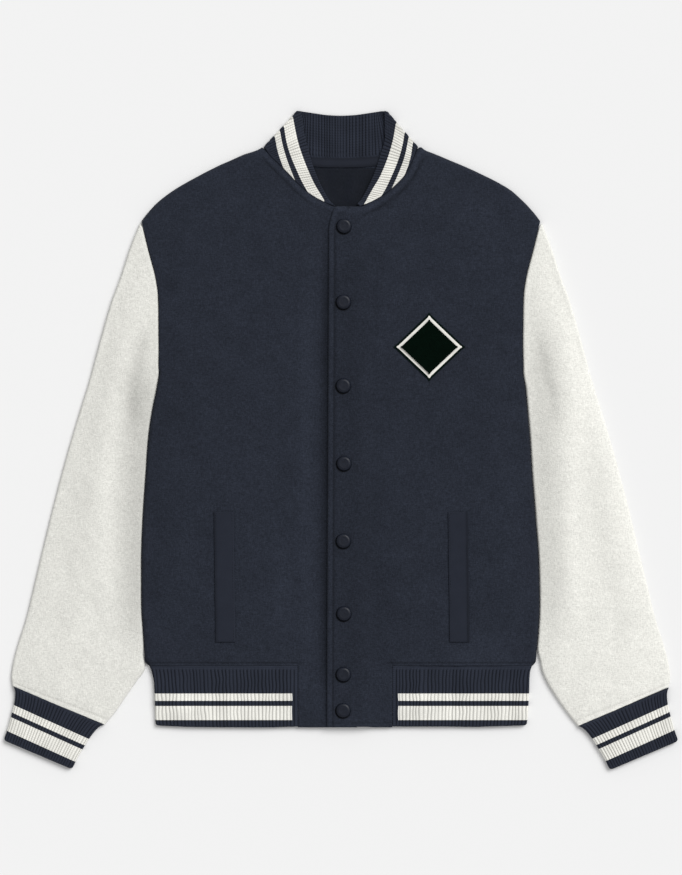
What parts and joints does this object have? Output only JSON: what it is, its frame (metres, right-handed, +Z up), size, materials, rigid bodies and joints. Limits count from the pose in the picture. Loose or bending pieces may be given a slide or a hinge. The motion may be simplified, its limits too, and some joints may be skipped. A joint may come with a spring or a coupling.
{
  "type": "varsity jacket",
  "caption": "Varsity jacket laid flat and snapped shut: wool body, contrast sleeves, striped rib collar, cuffs and hem band, welt pockets and a plain chest patch.",
  "frame": {"origin": "on the surface the jacket lies on, under the middle of the laid-out jacket", "axes": "+Z up out of the front, +Y from the hem toward the collar, +X toward the front that laps over, on the right as seen from above"},
  "size_m": [0.8094, 0.7904, 0.0127],
  "materials": {
    "navy_wool": "brushed navy wool melton",
    "cream_wool": "cream wool with a short nap",
    "navy_rib": "navy rib knit with cream bands",
    "navy_facing": "smooth navy facing cloth",
    "dark_satin": "dark navy satin",
    "snap_cap": "satin navy enamel",
    "border_felt": "near-black felt",
    "cream_felt": "cream felt",
    "green_chenille": "very dark green chenille pile"
  },
  "bodies": {
    "root": {"back": "navy_wool", "front_left": "navy_wool", "front_right": "navy_wool", "sleeve_left": "cream_wool", "sleeve_right": "cream_wool", "cuff_left": "navy_rib", "cuff_right": "navy_rib", "hem_rib": "navy_rib", "collar": "navy_rib", "neck_tape": "navy_facing", "neck_lining": "dark_satin", "welt_left": "navy_facing", "welt_right": "navy_facing", "snap_1": "snap_cap", "snap_2": "snap_cap", "snap_3": "snap_cap", "snap_4": "snap_cap", "snap_5": "snap_cap", "snap_6": "snap_cap", "snap_7": "snap_cap", "snap_8": "snap_cap", "patch_border": "border_felt", "patch_felt": "cream_felt", "patch_chenille": "green_chenille"}
  },
  "joints": []
}
